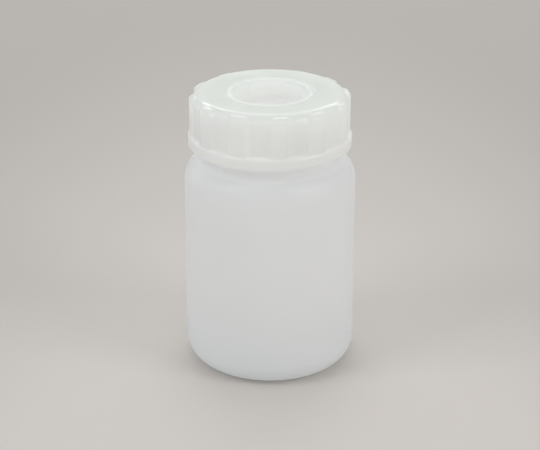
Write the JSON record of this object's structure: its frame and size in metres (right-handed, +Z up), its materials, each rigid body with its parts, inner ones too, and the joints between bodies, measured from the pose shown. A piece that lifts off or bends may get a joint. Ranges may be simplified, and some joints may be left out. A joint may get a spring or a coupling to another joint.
{
  "type": "reagent bottle",
  "caption": "Wide-mouth milky plastic reagent bottle with a ribbed screw cap and a sealing inner plug that shows as a deep round well in the cap's top.",
  "frame": {"origin": "centre of the foot, on the surface that the bottle stands on", "axes": "+Z up along the bottle's axis, -Y towards the front"},
  "size_m": [0.051, 0.051, 0.085],
  "materials": {
    "body_plastic": "satin",
    "plug_plastic": "satin",
    "cap_plastic": "gloss"
  },
  "bodies": {
    "bottle": {"bottle_body": "body_plastic"},
    "plug": {"inner_plug": "plug_plastic"},
    "cap": {"screw_cap": "cap_plastic"}
  },
  "joints": [
    {"name": "closure_lift", "type": "slide", "parent": "bottle", "child": "plug", "axis": [0, 0, 1], "range_m": [0, 0.0148]},
    {"name": "cap_turn", "type": "hinge", "parent": "plug", "child": "cap", "pos_m": [0, 0, 0.077], "axis": [0, 0, 1], "range_deg": [0, 1260]}
  ],
  "couplings": [
    {"joint": "closure_lift", "follows": "cap_turn", "m_per_rad": 0.00066845}
  ]
}
